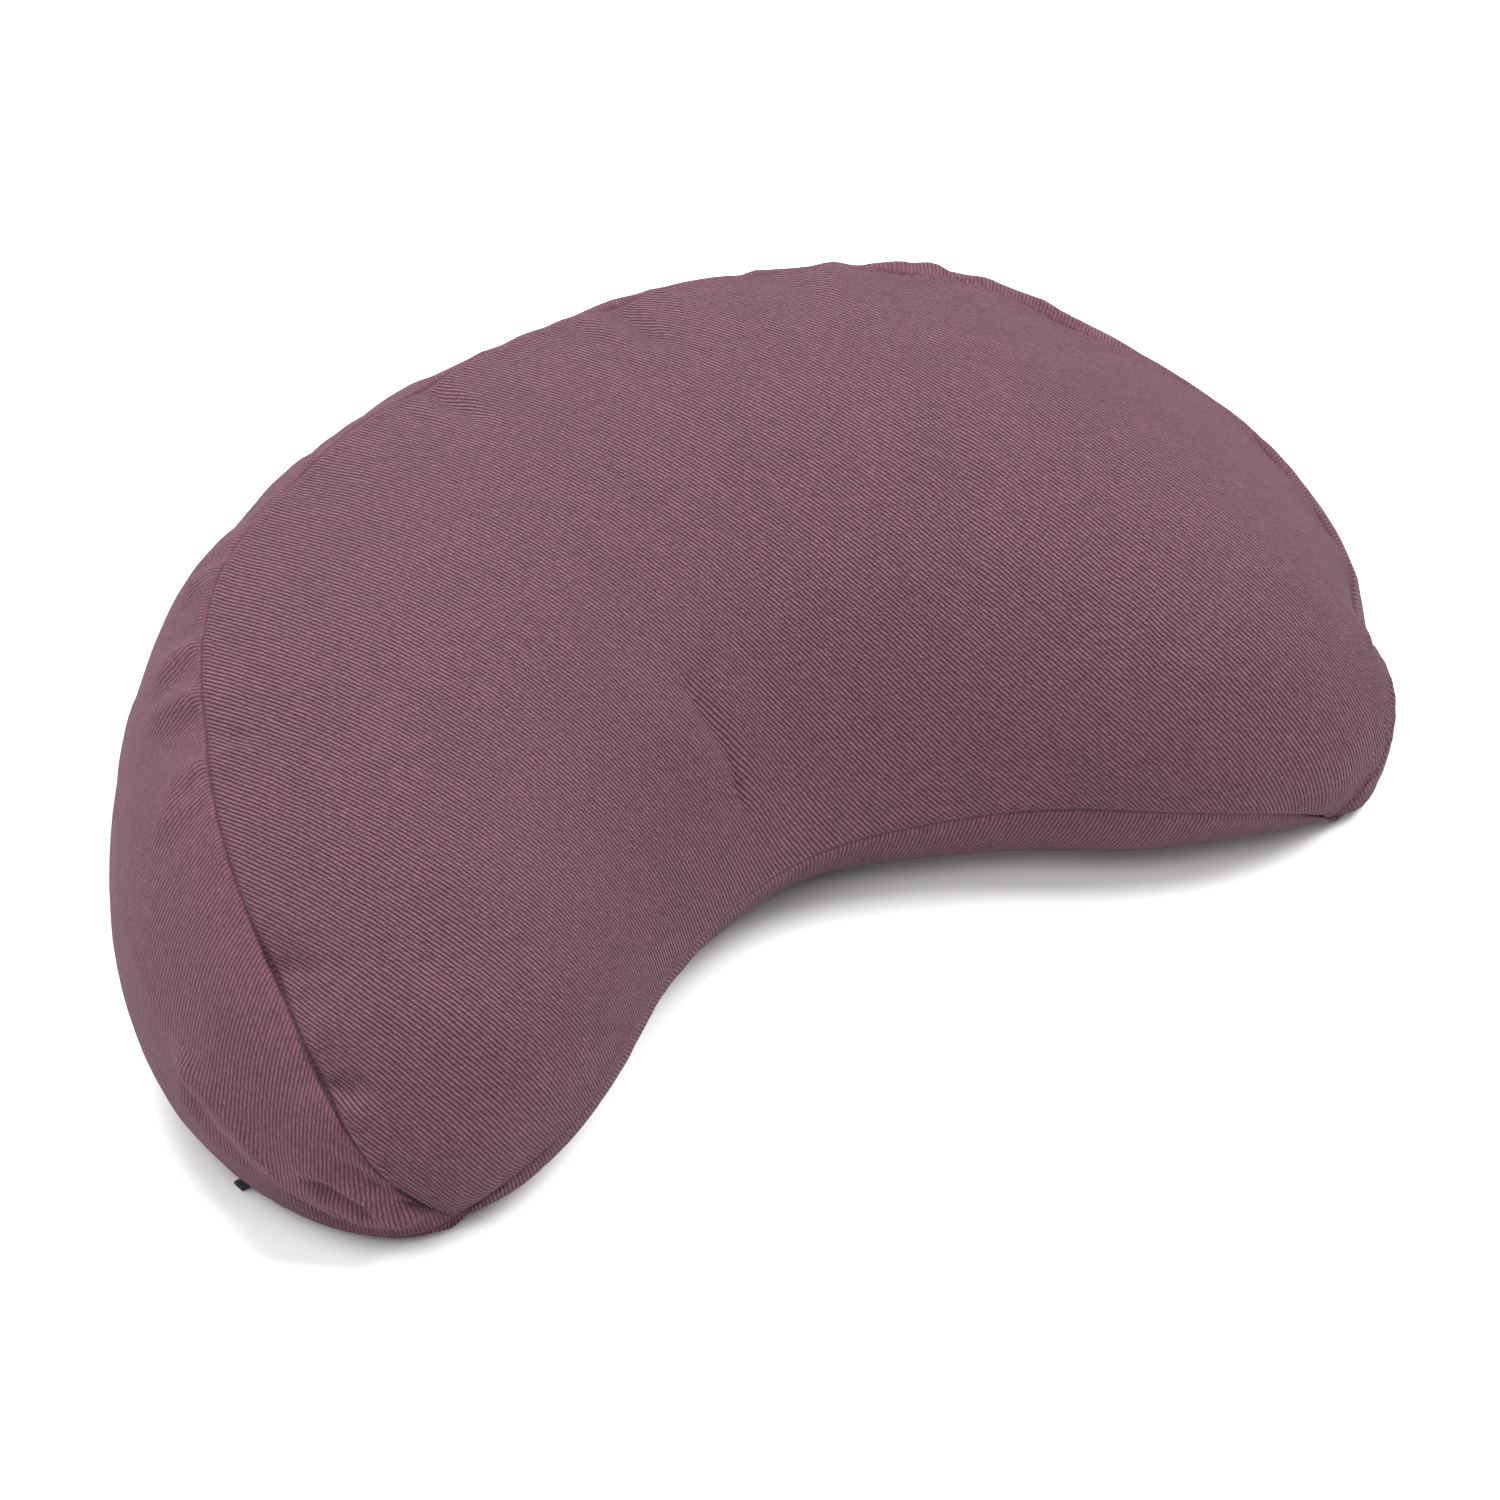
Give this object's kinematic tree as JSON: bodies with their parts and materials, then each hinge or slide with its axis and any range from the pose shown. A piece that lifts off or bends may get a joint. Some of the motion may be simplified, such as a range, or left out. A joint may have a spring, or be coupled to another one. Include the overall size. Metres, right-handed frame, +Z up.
{
  "type": "crescent meditation cushion",
  "caption": "Over-stuffed crescent floor cushion: domed top panel, tall rounded side band at the back, tapering horns and a hollow front for the sitter's legs.",
  "frame": {"origin": "on the floor, under the middle of the cushion's outline", "axes": "+Z up, +X along the length from horn to horn, +Y towards the high back; the hollow front faces -Y"},
  "size_m": [0.4484, 0.2612, 0.1382],
  "materials": {
    "cotton_twill": "matte, diagonal twill weave, slightly heathered",
    "tape": "matte woven tape"
  },
  "bodies": {
    "root": {"cushion": "cotton_twill", "tab": "tape"}
  },
  "joints": []
}
